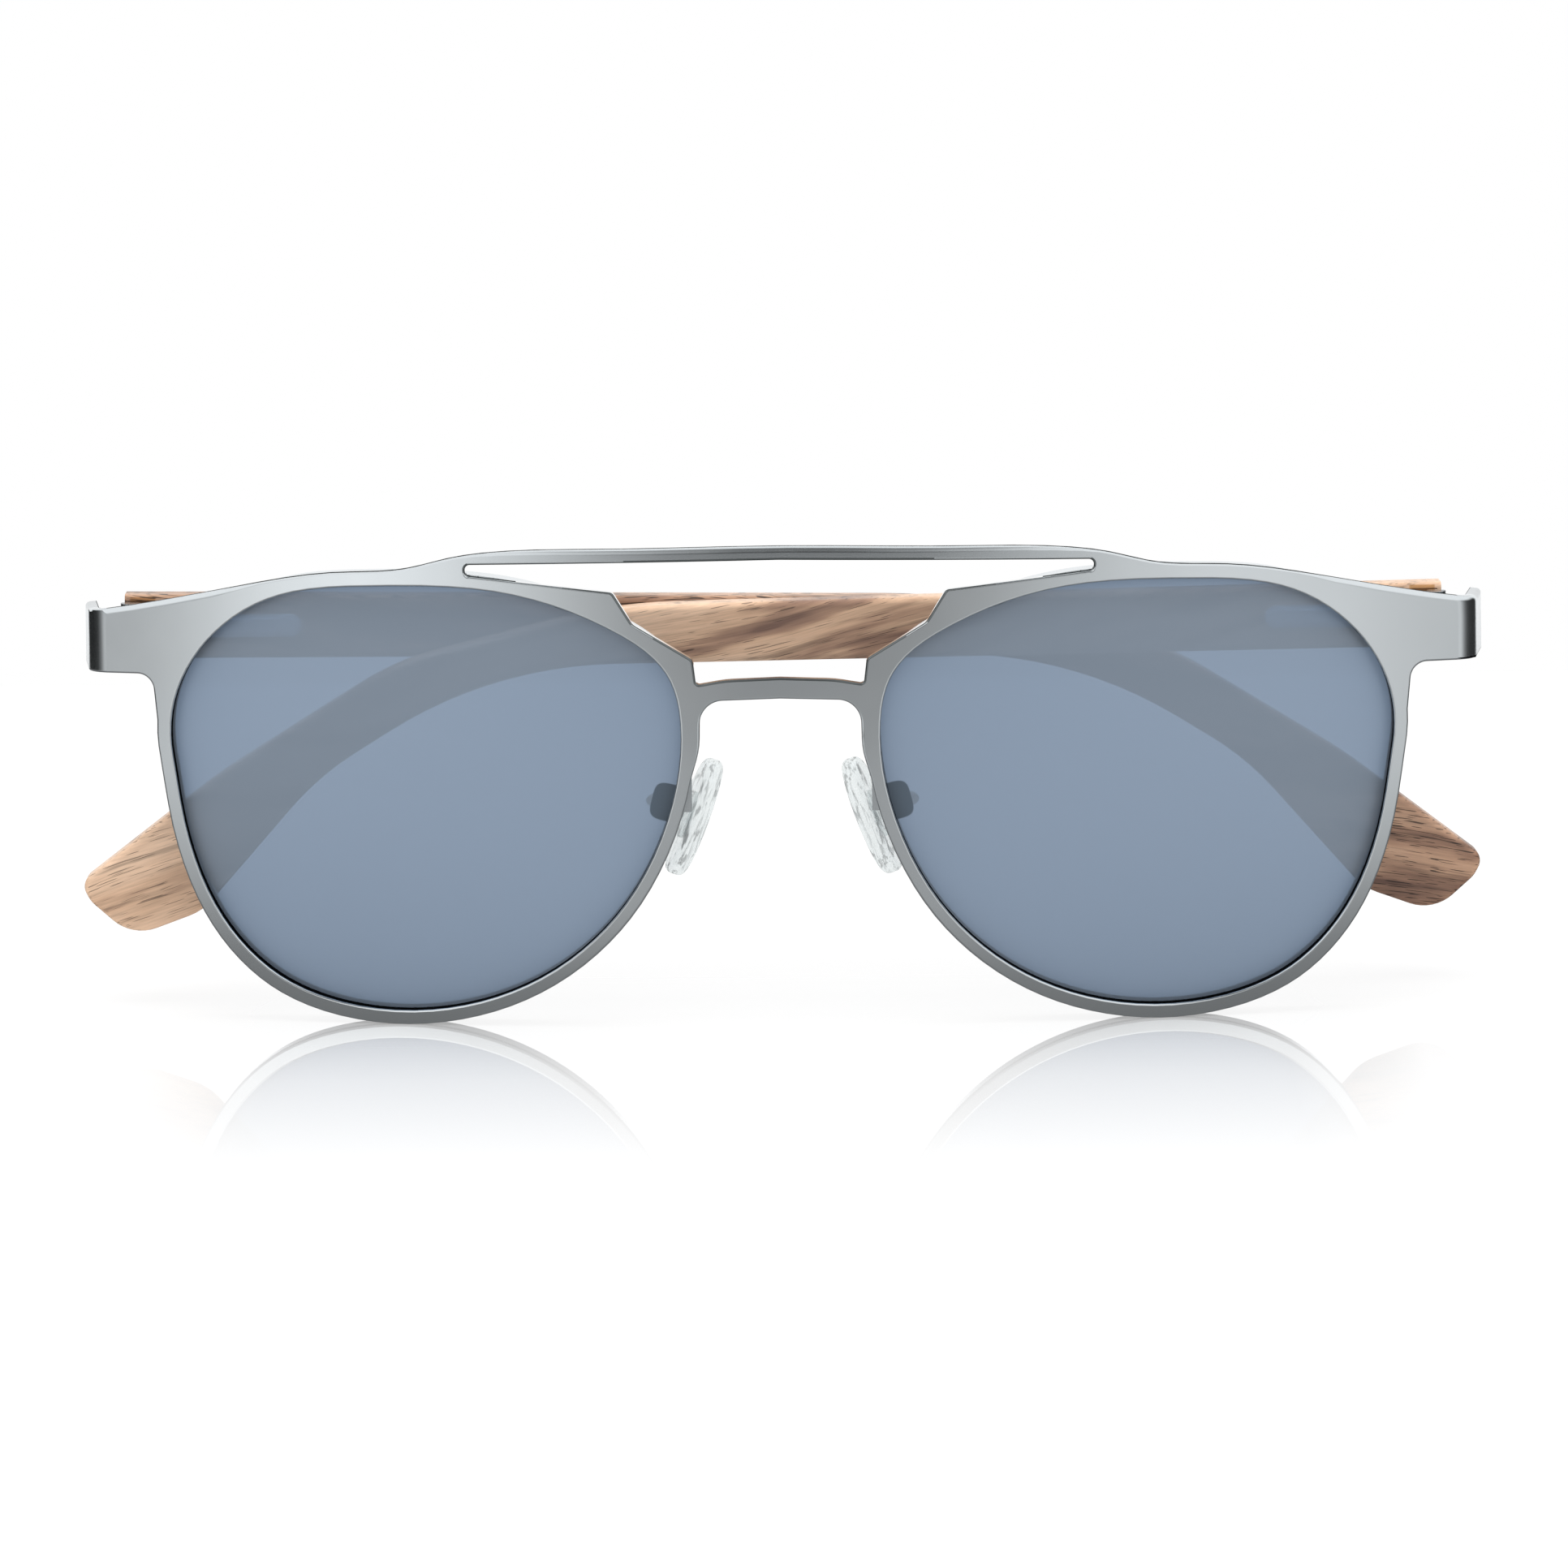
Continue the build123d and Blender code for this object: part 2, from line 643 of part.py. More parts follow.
front_pieces = {
    "lens": lens.part,
    "eyewire": eyewire.part,
    "rim_lock_upper": rim_lock_upper,
    "rim_lock_lower": rim_lock_lower,
    "rim_lock_screw": rim_lock_screw,
    "hinge_leaf": hinge_leaf.part,
    "hinge_screw": hinge_screw,
    "pad_arm": pad_arm.part,
    "pad_box": pad_box.part,
    "pad_screw": pad_screw,
    "pad_insert": pad_insert.part,
    "nose_pad": nose_pad.part,
}
temple_pieces = {
    "temple": temple.part,
    "spring_housing": spring_housing.part,
    "housing_rivet": housing_rivet.part,
    "spring_slider": spring_slider.part,
    "spring_pin": spring_pin.part,
    "spring": spring.part,
}

pieces = {"front_plate": front_plate.part}
for name, piece in front_pieces.items():
    pieces[f"left_{name}"] = piece
    pieces[f"right_{name}"] = mirror(piece, about=Plane.YZ)
for name, piece in temple_pieces.items():
    pieces[f"left_{name}"] = left_hinge.location * piece
    pieces[f"right_{name}"] = right_hinge.location * mirror(piece, about=Plane.XZ)

os.makedirs("parts", exist_ok=True)
for name, piece in pieces.items():
    piece.label = name
    export_step(piece, f"parts/{name}.step")
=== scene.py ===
# %% [markdown]
# # Folded sunglasses with wooden temples
# The imported model gives every piece its true size and place, in metres. This lesson dresses it:
# satin metal, mirrored lenses, clear silicone pads and oiled walnut, on a white studio table.
# Metal, wood and pads keep their solids' own shapes, copied and shaded smooth, and most of the
# metal is given soft edges; the lenses are worked out as surfaces with numpy.

# %% Load the frame
import math

import bpy
import numpy as np
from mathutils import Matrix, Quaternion, Vector


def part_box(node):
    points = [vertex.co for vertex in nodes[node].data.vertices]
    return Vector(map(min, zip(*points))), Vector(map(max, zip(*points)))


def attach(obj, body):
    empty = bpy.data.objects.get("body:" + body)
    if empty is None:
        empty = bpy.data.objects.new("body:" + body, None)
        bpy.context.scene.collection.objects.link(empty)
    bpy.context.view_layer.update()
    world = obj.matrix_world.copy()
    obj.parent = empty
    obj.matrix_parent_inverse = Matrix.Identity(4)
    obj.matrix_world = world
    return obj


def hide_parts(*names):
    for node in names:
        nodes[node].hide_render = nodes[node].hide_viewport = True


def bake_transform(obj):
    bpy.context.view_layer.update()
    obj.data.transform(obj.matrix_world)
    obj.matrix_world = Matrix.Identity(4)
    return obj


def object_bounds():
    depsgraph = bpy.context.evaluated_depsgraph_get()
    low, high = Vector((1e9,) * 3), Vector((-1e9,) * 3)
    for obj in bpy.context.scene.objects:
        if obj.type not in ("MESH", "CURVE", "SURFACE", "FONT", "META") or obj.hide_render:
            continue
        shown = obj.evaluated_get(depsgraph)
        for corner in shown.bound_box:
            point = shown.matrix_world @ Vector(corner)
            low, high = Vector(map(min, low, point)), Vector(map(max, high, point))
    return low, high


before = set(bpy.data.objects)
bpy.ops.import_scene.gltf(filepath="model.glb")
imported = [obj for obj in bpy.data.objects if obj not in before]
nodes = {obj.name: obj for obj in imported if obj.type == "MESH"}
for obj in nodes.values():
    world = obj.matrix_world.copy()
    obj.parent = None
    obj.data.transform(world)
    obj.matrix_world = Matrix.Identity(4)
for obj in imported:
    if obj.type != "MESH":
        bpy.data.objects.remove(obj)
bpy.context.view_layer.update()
SIDES = ("left", "right")
MM = 0.001

# %% [markdown]
# ## Camera
# The object is seen from the front, a little from above. A long lens far away keeps both
# rims nearly the same shape, as catalogues show small things. The camera aims just above the
# bridge and leans a touch to one side.

# %% Camera
DISTANCE = 0.70
LOOK_DOWN = math.radians(9.0)
LOOK_ASIDE = math.radians(1.0)
LEAN = 0.012                            # clockwise, in radians
AIM = (0.0003, 0.0, 0.0018)
FIELD = 0.1581                          # width of the view at the object

eye = np.array(AIM) + DISTANCE * np.array([
    math.sin(LOOK_ASIDE) * math.cos(LOOK_DOWN),
    -math.cos(LOOK_ASIDE) * math.cos(LOOK_DOWN),
    math.sin(LOOK_DOWN),
])
camera_data = bpy.data.cameras.new("camera")
camera_data.sensor_width = 36.0
camera_data.lens = camera_data.sensor_width * DISTANCE / FIELD
camera_data.clip_start = 0.01
camera = bpy.data.objects.new("camera", camera_data)
camera.location = eye
upright = Vector(np.array(AIM) - eye).to_track_quat("-Z", "Y")
camera.rotation_euler = (upright @ Quaternion((0, 0, 1), -LEAN)).to_euler()
bpy.context.scene.collection.objects.link(camera)
bpy.context.scene.camera = camera
print("camera lens, mm:", round(camera_data.lens, 1))

# %% [markdown]
# ## Node helpers
# Every finish below is a small tree of shader nodes. A few helpers keep them short: each makes
# one kind of node and joins its inputs, so that a finish reads like a recipe.


# %% Node helpers
def fill(tree, made, inputs):
    """Sets or links a node's inputs, given by name or number."""
    for key, value in inputs.items():
        if isinstance(value, bpy.types.NodeSocket):
            tree.links.new(value, made.inputs[key])
        else:
            made.inputs[key].default_value = value
    return made


def shader(tree, kind, **inputs):
    """A shader node, with underscores for the spaces in its inputs' names."""
    named = {key.replace("_", " "): value for key, value in inputs.items()}
    return fill(tree, tree.nodes.new("ShaderNode" + kind), named)


def calculate(tree, operation, first, second=0.0):
    """One sum on numbers."""
    made = tree.nodes.new("ShaderNodeMath")
    made.operation = operation
    return fill(tree, made, {0: first, 1: second}).outputs[0]


def vector_sum(tree, operation, first, second):
    """One sum on vectors: the result is a vector, or a number for a dot product."""
    made = tree.nodes.new("ShaderNodeVectorMath")
    made.operation = operation
    fill(tree, made, {0: first, 1: second})
    return made.outputs["Value" if operation == "DOT_PRODUCT" else "Vector"]


def mix_colour(tree, factor, first, second, blend="MIX"):
    """Two colours blended."""
    made = tree.nodes.new("ShaderNodeMix")
    made.data_type = "RGBA"
    made.blend_type = blend
    return fill(tree, made, {0: factor, 6: first, 7: second}).outputs[2]


def mix_shader(tree, factor, first, second):
    """Two shaders blended."""
    return fill(tree, tree.nodes.new("ShaderNodeMixShader"),
                {0: factor, 1: first.outputs[0], 2: second.outputs[0]})


# %% Pattern helpers
def noise(tree, place, scale, detail=2.0, roughness=0.5):
    """Soft random clouds, from 0 to 1 and mostly near 0.5."""
    made = tree.nodes.new("ShaderNodeTexNoise")
    fill(tree, made, {"Vector": place, "Scale": scale, "Detail": detail, "Roughness": roughness})
    return made.outputs[0]


def rescale(tree, value, low, high, to_low, to_high):
    """A number moved from one range to another, and held inside it."""
    made = tree.nodes.new("ShaderNodeMapRange")
    return fill(tree, made, {0: value, 1: low, 2: high, 3: to_low, 4: to_high}).outputs[0]


def ramp(tree, factor, stops):
    """A colour ramp from (place, grey or colour) stops, read at factor."""
    stops = list(stops)
    made = tree.nodes.new("ShaderNodeValToRGB")
    elements = made.color_ramp.elements
    while len(elements) < len(stops):
        elements.new(0.5)
    for element, (place, colour) in zip(elements, stops):
        element.position = place
        shade = colour if isinstance(colour, tuple) else (colour,) * 3
        element.color = (*shade, 1)
    tree.links.new(factor, made.inputs[0])
    return made.outputs["Color"]


def object_mm(tree, turn=(0, 0, 0)):
    """The piece's own coordinates in millimetres, turned."""
    where = tree.nodes.new("ShaderNodeTexCoord").outputs["Object"]
    made = tree.nodes.new("ShaderNodeMapping")
    fill(tree, made, {"Vector": where, "Rotation": turn, "Scale": (1 / MM,) * 3})
    return made.outputs[0]


# %% Material helpers
def new_material(name):
    """An empty material and its node tree, with only an output."""
    material = bpy.data.materials.new(name)
    material.use_nodes = True
    tree = material.node_tree
    tree.nodes.clear()
    tree.nodes.new("ShaderNodeOutputMaterial")
    return material, tree


def show(tree, surface, relief=None, depth=0.0):
    """Puts a shader on the output, with an optional height map as a bump of that depth in mm."""
    if relief is not None:
        bump = shader(tree, "Bump", Distance=depth * MM, Height=relief)
        tree.links.new(bump.outputs[0], surface.inputs["Normal"])
    output = next(one for one in tree.nodes if one.bl_idname.startswith("ShaderNodeOutput"))
    tree.links.new(surface.outputs[0], output.inputs["Surface"])


# %% [markdown]
# ## Room
# Metal is only as good as the room it mirrors. This studio is drawn as tones around the object,
# from straight ahead to straight behind: a grey middle, where the camera and its stand are, a
# bright fill on each side of it, black flags at the sides and the white paper behind. The fill
# on the left is the stronger one, and its flag comes further round. High up and low down it is
# all white, but for a dim strip over the camera. Only the soft mirroring of satin metal sees
# these tones. The camera, the table's sharp mirror and the light on the wood see plain white.

# %% Room
TO_THE_LEFT = (                         # degrees from straight ahead, brightness
    (0, 0.31), (7, 0.29), (11, 0.50), (17, 0.90), (22, 1.15), (28, 1.1), (32, 0.50), (37, 0.40),
    (43, 0.62), (50, 0.50), (62, 0.17), (76, 0.03), (100, 0.012), (138, 0.012), (149, 1.0),
)
TO_THE_RIGHT = (
    (0, 0.31), (7, 0.31), (11, 0.48), (17, 0.76), (22, 0.86), (28, 0.82), (33, 0.58), (37, 0.56),
    (43, 0.74), (52, 0.66), (65, 0.24), (80, 0.05), (100, 0.02), (138, 0.02), (149, 1.0),
)
STRIP = 0.10                            # brightness over the camera
STRIP_FOOT = (0.03, 0.12)               # sine of the height over which the strip fades in
STRIP_SIDES = (0.08, 0.22)              # sine of the angle aside over which it fades out
STRIP_BACK = (-0.3, 0.0)                # the same towards the rear, where there is none
WHITE_FROM = (0.35, 0.60)               # sine of the height over which the tones turn white
SEAM = 0.05                             # sine of the angle over which left turns into right

world = bpy.data.worlds.new("studio")
world.use_nodes = True
bpy.context.scene.world = world
tree = world.node_tree
tree.nodes.clear()
tree.nodes.new("ShaderNodeOutputWorld")
direction = tree.nodes.new("ShaderNodeTexCoord").outputs["Generated"]
ahead = vector_sum(tree, "DOT_PRODUCT", direction, (0, -1, 0))
height = vector_sum(tree, "DOT_PRODUCT", direction, (0, 0, 1))
across = vector_sum(tree, "DOT_PRODUCT", direction, (1, 0, 0))
aside = calculate(tree, "ABSOLUTE", across)
turn = calculate(tree, "DIVIDE", calculate(tree, "ARCTAN2", aside, ahead), math.pi)
halves = [ramp(tree, turn, [(degrees / 180, tone) for degrees, tone in half])
          for half in (TO_THE_LEFT, TO_THE_RIGHT)]
level = mix_colour(tree, rescale(tree, across, -SEAM, SEAM, 0.0, 1.0), *halves)
steep = rescale(tree, calculate(tree, "ABSOLUTE", height), *WHITE_FROM, 0.0, 1.0)
tones = mix_colour(tree, steep, level, (1, 1, 1, 1))
over = ramp(tree, height, zip(STRIP_FOOT, (1.0, STRIP)))
near_middle = calculate(tree, "MULTIPLY", rescale(tree, aside, *STRIP_SIDES, 1.0, 0.0),
                        rescale(tree, ahead, *STRIP_BACK, 0.0, 1.0))
room = mix_colour(tree, near_middle, tones, mix_colour(tree, 1.0, tones, over, "MULTIPLY"))
rays = tree.nodes.new("ShaderNodeLightPath")
sharp = calculate(tree, "SUBTRACT", 1.0, rays.outputs["Is Singular Ray"])
satin = calculate(tree, "MULTIPLY", rays.outputs["Is Glossy Ray"], sharp)
seen = mix_colour(tree, satin, (1, 1, 1, 1), room)
show(tree, shader(tree, "Background", Color=seen, Strength=1.0))
print("room tones:", len(TO_THE_LEFT), "to the left and", len(TO_THE_RIGHT), "to the right")

# %% [markdown]
# ## Table
# The table is a polished white sheet just under the rims. Its mirror is strongest where it
# touches the rims and is gone a hand's width in front. Seen directly it is white but keeps part
# of its real shading, for a soft shadow. In the metal it mirrors as a bright sheet with painted
# shade: darker right beside the object, for the shadow under a thing that stands on it, and
# darker towards the middle.

# %% Table
HALF_TABLE = 0.25
GAP = 0.02 * MM                         # between the rims and the table, so they don't touch
low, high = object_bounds()
corners = ((-1, -1), (1, -1), (1, 1), (-1, 1))
table_mesh = bpy.data.meshes.new("table")
table_mesh.from_pydata(
    [(x * HALF_TABLE, y * HALF_TABLE, low[2] - GAP) for x, y in corners], [], [(0, 1, 2, 3)]
)
table = bpy.data.objects.new("table", table_mesh)
bpy.context.scene.collection.objects.link(table)
print("table at height, mm:", round(low[2] / MM, 2))

# %% Table finish
EVENLY_WHITE = 0.72                     # share of the sheet that takes no shading
MIRROR_DEPTH = (-0.10, 0.12)            # y in front of and behind the rims, where the mirror ends
MIRROR_SIDES = (0.050, 0.064)           # distance aside over which it fades
PAINTED_SHADE_DEPTH = (-0.15, 0.01)              # y over which the painted shade, seen in metal, darkens up to the rims
PAINTED_SHADE_SIDES = (0.02, 0.12)               # distance aside over which it lightens again

material, tree = new_material("white_table")
spot = shader(tree, "SeparateXYZ",
              Vector=tree.nodes.new("ShaderNodeTexCoord").outputs["Object"])
where = spot.outputs["Y"]
matt = shader(tree, "BsdfDiffuse", Color=(0.9, 0.9, 0.9, 1))
white = shader(tree, "Emission", Color=(1, 1, 1, 1), Strength=1.0)
body = mix_shader(tree, EVENLY_WHITE, matt, white)
# In metal the sheet shows painted shade: darker beside the rims, for their shadow, and towards the
# middle.
shade_beside_rims = ramp(tree, rescale(tree, where, *PAINTED_SHADE_DEPTH, 1.0, 0.0), [
    (0.0, 0.16), (0.14, 0.22), (0.42, 0.46), (0.9, 0.66),
])
aside = calculate(tree, "ABSOLUTE", spot.outputs["X"])
middle = ramp(tree, rescale(tree, aside, *PAINTED_SHADE_SIDES, 0.0, 1.0),
              [(0.0, 0.38), (0.3, 0.55), (1.0, 0.9)])
painted_shade_in_metal = shader(tree, "Emission", Strength=1.0,
                  Color=mix_colour(tree, 1.0, shade_beside_rims, middle, "DARKEN"))
rays = tree.nodes.new("ShaderNodeLightPath")
sheet = mix_shader(tree, rays.outputs["Is Glossy Ray"], body, painted_shade_in_metal)
mirror = shader(tree, "BsdfGlossy", Color=(1, 1, 1, 1), Roughness=0.0)
strength = ramp(tree, rescale(tree, where, *MIRROR_DEPTH, 0.0, 1.0), [
    (0.0, 0.0), (0.18, 0.09), (0.34, 0.28), (0.425, 0.44), (0.5, 0.62), (0.64, 0.3), (0.9, 0.12),
])
narrowed = calculate(tree, "MULTIPLY", strength, rescale(tree, aside, *MIRROR_SIDES, 1.0, 0.2))
shown = calculate(tree, "MULTIPLY", narrowed, rays.outputs["Is Camera Ray"])
show(tree, mix_shader(tree, shown, sheet, mirror))
table_mesh.materials.append(material)

# %% [markdown]
# ## Lamp
# One large soft box hangs over the table. It gives the wood its light tops and the table its
# soft shadow; the metal mirrors only the room's own tones.

# %% Lamp
lamp = bpy.data.lights.new("top_light", "AREA")
lamp.shape = "RECTANGLE"
lamp.size, lamp.size_y = 1.0, 0.7
lamp.energy = 5.0
top_light = bpy.data.objects.new("top_light", lamp)
top_light.location = (0, -0.1, 0.9)
top_light.visible_glossy = False
bpy.context.scene.collection.objects.link(top_light)
print("soft box, m:", lamp.size, "by", round(lamp.size_y, 2))

# %% [markdown]
# ## Copies of the solids
# A solid from CAD arrives as loose triangles. They are copied, and numpy merges their corners,
# so that neighbours share points and can be shaded and rounded as one skin.

# %% Copies of the solids
SAME_CORNER = 1e7                       # steps per metre: corners on the same step are merged
CREASE = math.radians(32)               # an edge that turns more than this is a sharp one


def welded(name):
    """Corners of a node's loose triangles merged: rows of points, and triangles as indices."""
    mesh = nodes[name].data
    points = np.empty(len(mesh.vertices) * 3, np.float32)
    mesh.vertices.foreach_get("co", points)
    corners = np.empty(len(mesh.loops), np.int32)
    mesh.loops.foreach_get("vertex_index", corners)
    keys = np.round(points.reshape(-1, 3) * SAME_CORNER).astype(np.int64)
    _, first, same = np.unique(keys, axis=0, return_index=True, return_inverse=True)
    triangles = same.reshape(-1)[corners].reshape(-1, 3)
    whole = (triangles != np.roll(triangles, 1, axis=1)).all(axis=1)
    return points.reshape(-1, 3)[first].astype(float), triangles[whole]


def new_piece(name, points, faces, materials, body, node, slot):
    """A smooth mesh object made from arrays, standing for a CAD node. It rides on a body, unless
    body is None."""
    mesh = bpy.data.meshes.new(name)
    mesh.from_pydata(points.tolist(), [], [list(face) for face in faces])
    mesh.shade_smooth()
    for material in materials:
        mesh.materials.append(material)
    made = bpy.data.objects.new(name, mesh)
    bpy.context.scene.collection.objects.link(made)
    if body:
        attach(made, body)
    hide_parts(node)
    return made


def softened(name, material, body, edge, slot):
    """A copy of a solid with its sharp edges rounded by `edge` mm."""
    made = new_piece(name + "_finish", *welded(name), [material], body, name, slot)
    made.data.set_sharp_from_angle(angle=CREASE)
    if edge:
        bevel = made.modifiers.new("edges", "BEVEL")
        bevel.width = edge * MM
        bevel.segments = 3
        bevel.limit_method = "ANGLE"
        bevel.angle_limit = CREASE
        bevel.use_clamp_overlap = True
        bevel.harden_normals = True
    return made


def unit(vectors):
    """Each row divided by its length."""
    return vectors / np.maximum(np.linalg.norm(vectors, axis=-1, keepdims=True), 1e-12)


# %% [markdown]
# ## Lens outline
# Several finishes need to know where the lens is, as seen from the front: the metal inside its
# outline is blackened, and the lens itself is drawn on it. The outline is read from the lens
# solid's side wall, as a distance from its middle in each direction.

# %% Lens outline
DOME = 0.265                            # radius of the dome that front and lenses share
EDGE_ON = 0.05                          # a lens's side wall looks forward by less than this
dome_centre = np.array([0.0, DOME, 0.0])


def depth_of(points):
    """How far each point lies behind the dome."""
    return DOME - np.linalg.norm(points - dome_centre, axis=-1)


def lens_outline(side):
    """Middle of a lens, and its outline as two rows: rising directions and their distances."""
    points, triangles = welded(f"{side}_lens")
    a, b, c = (points[triangles[:, corner]] for corner in range(3))
    wall = np.abs(unit(np.cross(b - a, c - a))[:, 1]) < EDGE_ON
    middle = (points.min(0) + points.max(0)) / 2
    flat = (points[np.unique(triangles[wall])] - middle)[:, [0, 2]]
    angle = np.arctan2(flat[:, 1], flat[:, 0])
    order = np.argsort(angle)
    return middle, np.stack([angle[order], np.hypot(*flat.T)[order]])


outlines = {side: lens_outline(side) for side in SIDES}


def inside_lens(points, margin):
    """Which points lie inside either lens's outline, grown by margin, as seen from the front."""
    found = np.zeros(len(points), bool)
    for middle, outline in outlines.values():
        flat = (points - middle)[:, [0, 2]]
        edge = np.interp(np.arctan2(flat[:, 1], flat[:, 0]), *outline, period=2 * np.pi)
        found |= np.hypot(*flat.T) < edge + margin
    return found


print("lens middles, mm:", [np.round(outlines[side][0] / MM, 1).tolist() for side in SIDES])

# %% [markdown]
# ## Satin metal
# The front is stamped from sheet, bent, blasted to a fine satin and plated. Close up it has a
# very fine grain, so its roughness and a shallow bump vary at a scale of a tenth of a
# millimetre, and broad clouds keep large faces from looking flat. The cut edges take a darker
# copy of the metal, a painted shade, and everything that faces the lens takes a near-black
# copy, a painted shade for the dark line between lens and rim.

# %% Satin metal
CLOUDS = 0.12                           # clouds per mm, in the roughness
BLASTING = 9.0                          # grains per mm, in the bump


def satin_metal(name, colour, rough, grain, glancing=(1, 1, 1), metal=1.0):
    """Plated satin metal: one colour, roughness that varies, and a fine blasted grain. Its
    colour at a glancing angle is white unless the metal is darkened. A metal of less than one
    is brushed so matt that part of its light is scattered."""
    material, tree = new_material(name)
    place = object_mm(tree)
    clouds = noise(tree, place, CLOUDS, 3.0)
    fine = noise(tree, place, BLASTING, 2.0)
    roughness = rescale(tree, clouds, 0.3, 0.7, rough * 0.9, rough * 1.12)
    plated = shader(tree, "BsdfPrincipled", Base_Color=(*colour, 1), Metallic=metal,
                    Roughness=roughness, Specular_Tint=(*glancing, 1))
    show(tree, plated, fine, grain)
    return material


front_metal = satin_metal("front_metal", (0.73, 0.775, 0.80), 0.19, 0.0012)
# A darker copy of the metal, for painted shade on the walls.
painted_shade_edge = satin_metal("painted_shade_edge", (0.20, 0.22, 0.225), 0.30, 0.002, (0.10, 0.11, 0.11))
# A near-black copy of the metal: painted shade where the metal faces the lens.
black_painted_shade = satin_metal("black_painted_shade_metal", (0.012, 0.014, 0.016), 0.5, 0.002, (0.02, 0.02, 0.02))
polished = satin_metal("polished_edge", (0.86, 0.88, 0.89), 0.12, 0.002)
hinge_metal = satin_metal("hinge_metal", (0.92, 0.97, 1.0), 0.45, 0.003, metal=0.3)
screw_steel = satin_metal("screw_steel", (0.60, 0.62, 0.64), 0.18, 0.001)
print("front metal's node tree:", len(front_metal.node_tree.nodes), "nodes")

# %% [markdown]
# ## Front plate
# The plate is a sheet: a skin in front, a skin behind, and the walls where it was cut. Stamping
# and tumbling round its edges, and those thin rounds catch the light as bright lines. A Bevel
# modifier leaves creases on a mesh like this, so the rounds are worked out here. Where a wall
# meets a skin, the edge's points move back onto both, and a strip on a small round joins them.
# The shading normals come from the sheet's own formula: a dome, then a bend, then a flat leg.
# Most walls take a darker copy of the metal, a painted shade. The long window under the brow bar is
# the exception:
# its walls are polished and mirror the paper behind, with a painted shade line along their edges.

# %% Sheet normals
BEND_START = 68.8 * MM                  # where the sheet leaves the dome
BEND_RADIUS = 3.0 * MM
BEND_END = math.radians(81.0)           # direction of the leg, from straight ahead


def sheet_normals(points):
    """Outward normals of the bent sheet. It is a plan curve swept round a level axis through the
    dome's centre: the curve's own direction is an angle that follows x on the dome, follows the
    bend's centre past its start, and stays the same on the leg."""
    x = np.abs(points[:, 0])
    radial = np.hypot(points[:, 1] - DOME, points[:, 2])
    start = math.asin(BEND_START / DOME)
    centre = (DOME - BEND_RADIUS) * np.array([math.sin(start), math.cos(start)])
    on_dome = np.arctan2(x, radial)
    on_bend = np.clip(np.arctan2(x - centre[0], radial - centre[1]), start, BEND_END)
    turn = np.where(on_dome < start, on_dome, on_bend)
    forward = np.cos(turn) / radial
    return np.stack([np.sign(points[:, 0]) * np.sin(turn), forward * (points[:, 1] - DOME),
                     forward * points[:, 2]], axis=-1)


# %% Skins and walls
FRONT, BACK, WALL = 0, 1, 2             # kinds of face in the sheet
SKIN, ROUND = 0, 1                      # groups of faces in the rounded sheet, beside WALL
LOOKS_ALONG = 0.8                       # cosine to the sheet's normal, past which a face is skin


def face_kinds(points, triangles):
    """Each face's normal and kind: a skin's is along the sheet's normal or against it."""
    a, b, c = (points[triangles[:, corner]] for corner in range(3))
    normal = unit(np.cross(b - a, c - a))
    alike = (normal * sheet_normals((a + b + c) / 3)).sum(-1)
    back_or_wall = np.where(alike < -LOOKS_ALONG, BACK, WALL)
    return normal, np.where(alike > LOOKS_ALONG, FRONT, back_or_wall)


def edge_table(triangles):
    """Each triangle's three directed edges, whose they are, and the triangle on the other side."""
    edges = np.stack([triangles, np.roll(triangles, -1, axis=1)], axis=-1).reshape(-1, 2)
    owner = np.repeat(np.arange(len(triangles)), 3)
    size = triangles.max() + 1
    ahead_key = edges[:, 0].astype(np.int64) * size + edges[:, 1]
    back_key = edges[:, 1].astype(np.int64) * size + edges[:, 0]
    order = np.argsort(ahead_key)
    found = order[np.clip(np.searchsorted(ahead_key[order], back_key), 0, len(order) - 1)]
    return edges, owner, np.where(ahead_key[found] == back_key, owner[found], -1)


# %% Rounds
SPREAD = 1.4                            # a round's width on the skin, for 1 down the wall


def normals_at(count, edges, normals):
    """The edges' normals added up at both ends, for a number of points, as unit vectors."""
    total = np.zeros((count, 3))
    for end in edges.T:
        np.add.at(total, end, normals)
    return unit(total)


def round_profile(corner, skin, wall, radius, steps):
    """Rows of points and normals from skin to wall, along the rounded edge. For corner p, skin
    normal s, wall normal w, radius r and W = SPREAD w, the middle is p - r (s + W) / (1 + s.w).
    From there it goes r (s cos a + W sin a) / sqrt(1 + s.w sin 2a), with a from 0 to 90 degrees."""
    lean = (skin * wall).sum(-1, keepdims=True)
    middle = corner - radius * (skin + SPREAD * wall) / (1 + lean)
    rows = []
    for turn in np.linspace(0, np.pi / 2, steps + 1):
        out, down = skin * math.cos(turn), wall * math.sin(turn)
        reach = radius / (1 + lean * math.sin(2 * turn)) ** 0.5
        rows.append((middle + reach * (out + SPREAD * down), unit(out + down)))
    return rows


